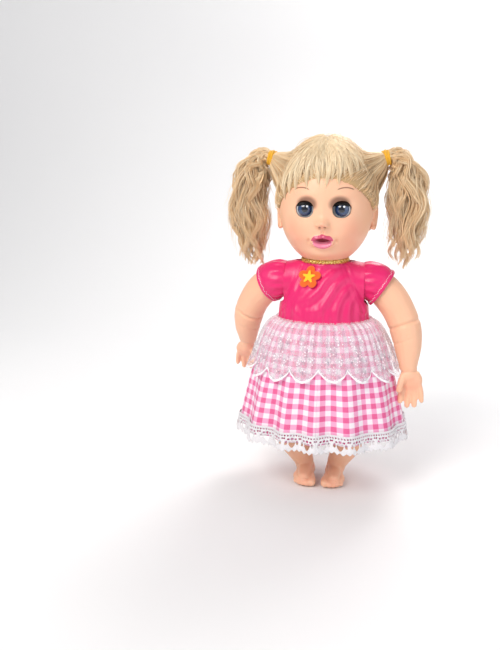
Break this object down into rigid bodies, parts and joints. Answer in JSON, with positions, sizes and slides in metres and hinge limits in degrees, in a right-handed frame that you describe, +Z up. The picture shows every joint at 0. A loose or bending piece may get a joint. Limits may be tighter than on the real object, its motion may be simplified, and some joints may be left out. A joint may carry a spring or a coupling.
{
  "type": "baby doll",
  "caption": "Talking baby doll with sleeping eyes, pigtails, turning head and limbs, a tummy sound button and a gingham dress with lace.",
  "frame": {"origin": "on the floor between the soles, under the hip axis", "axes": "+Z up, the doll faces -Y, its own left hand is on +X"},
  "size_m": [0.1774, 0.1186, 0.3099],
  "materials": {
    "head_vinyl": "plain",
    "limb_vinyl": "plain",
    "body_plastic": "plain",
    "inner_plastic": "plain",
    "eye_white": "plain",
    "iris_print": "plain",
    "cornea_clear": "plain",
    "eyelid_skin": "plain",
    "lash_black": "plain",
    "steel": "plain",
    "hair_blonde": "plain",
    "band_yellow": "plain",
    "satin_pink": "plain",
    "gingham": "plain",
    "lace_white": "plain",
    "trim_white": "plain",
    "felt_orange": "plain",
    "felt_yellow": "plain",
    "gold_cord": "plain",
    "loop_tape": "plain",
    "board_green": "plain",
    "component_black": "plain",
    "speaker_paper": "plain",
    "brass_contact": "plain",
    "wire_red": "plain"
  },
  "bodies": {
    "torso": {"torso_front": "body_plastic", "torso_back": "body_plastic", "neck_knob": "inner_plastic", "battery_door": "body_plastic", "battery_door_screw": "steel", "button_cells": "steel", "battery_contacts": "brass_contact", "circuit_board": "board_green", "board_parts": "component_black", "dome_switch": "steel", "speaker_basket": "component_black", "speaker_cone": "speaker_paper", "speaker_magnet": "steel", "body_screws": "steel", "button_spring": "steel", "power_switch_body": "inner_plastic", "speaker_leads": "wire_red", "battery_leads": "wire_red", "bodice": "satin_pink", "skirt": "gingham", "lace_overlay": "lace_white", "hem_lace": "trim_white", "flower_petals": "felt_orange", "flower_star": "felt_yellow", "neck_band": "gold_cord", "back_closure": "loop_tape"},
    "head": {"head_shell": "head_vinyl", "left_eye_cup": "inner_plastic", "right_eye_cup": "inner_plastic", "hair_cap": "hair_blonde", "fringe": "hair_blonde", "left_pigtail": "hair_blonde", "right_pigtail": "hair_blonde", "left_hair_band": "band_yellow", "right_hair_band": "band_yellow"},
    "left_eye": {"left_eyeball": "eye_white", "left_iris": "iris_print", "left_cornea": "cornea_clear", "left_eyelid": "eyelid_skin", "left_lashes": "lash_black", "left_eye_weight": "steel"},
    "right_eye": {"right_eyeball": "eye_white", "right_iris": "iris_print", "right_cornea": "cornea_clear", "right_eyelid": "eyelid_skin", "right_lashes": "lash_black", "right_eye_weight": "steel"},
    "left_arm": {"left_arm": "limb_vinyl", "left_shoulder_plug": "inner_plastic", "left_sleeve": "satin_pink"},
    "right_arm": {"right_arm": "limb_vinyl", "right_shoulder_plug": "inner_plastic", "right_sleeve": "satin_pink"},
    "left_leg": {"left_leg": "limb_vinyl", "left_hip_plug": "inner_plastic"},
    "right_leg": {"right_leg": "limb_vinyl", "right_hip_plug": "inner_plastic"},
    "sound_button": {"sound_button": "body_plastic"},
    "power_switch": {"power_switch_knob": "component_black"}
  },
  "joints": [
    {"name": "head_turn", "type": "hinge", "parent": "torso", "child": "head", "pos_m": [0, 0.002, 0.2055], "axis": [0, 0, 1], "range_deg": [-60, 60]},
    {"name": "left_eye_close", "type": "hinge", "parent": "head", "child": "left_eye", "pos_m": [0.015, -0.02724, 0.2487], "axis": [1, 0, 0], "range_deg": [0, 60]},
    {"name": "right_eye_close", "type": "hinge", "parent": "head", "child": "right_eye", "pos_m": [-0.015, -0.02724, 0.2487], "axis": [1, 0, 0], "range_deg": [0, 60]},
    {"name": "left_shoulder", "type": "hinge", "parent": "torso", "child": "left_arm", "pos_m": [0.0352, 0.002, 0.185], "axis": [-1, 0, 0], "range_deg": [-35, 100]},
    {"name": "right_shoulder", "type": "hinge", "parent": "torso", "child": "right_arm", "pos_m": [-0.0352, 0.002, 0.185], "axis": [-1, 0, 0], "range_deg": [-1, 134]},
    {"name": "left_hip", "type": "hinge", "parent": "torso", "child": "left_leg", "pos_m": [0.0227, 0, 0.101], "axis": [-1, 0, 0], "range_deg": [-12, 90], "deforming": ["skirt", "lace_overlay", "hem_lace"]},
    {"name": "right_hip", "type": "hinge", "parent": "torso", "child": "right_leg", "pos_m": [-0.0227, 0, 0.101], "axis": [-1, 0, 0], "range_deg": [-12, 90], "deforming": ["skirt", "lace_overlay", "hem_lace"]},
    {"name": "sound_button_press", "type": "slide", "parent": "torso", "child": "sound_button", "axis": [0, 1, 0], "range_m": [0, 0.0025], "stiffness_N_per_m": 300, "springref_m": -0.001, "deforming": ["button_spring"]},
    {"name": "power_switch_slide", "type": "slide", "parent": "torso", "child": "power_switch", "axis": [1, 0, 0], "range_m": [0, 0.003]}
  ]
}
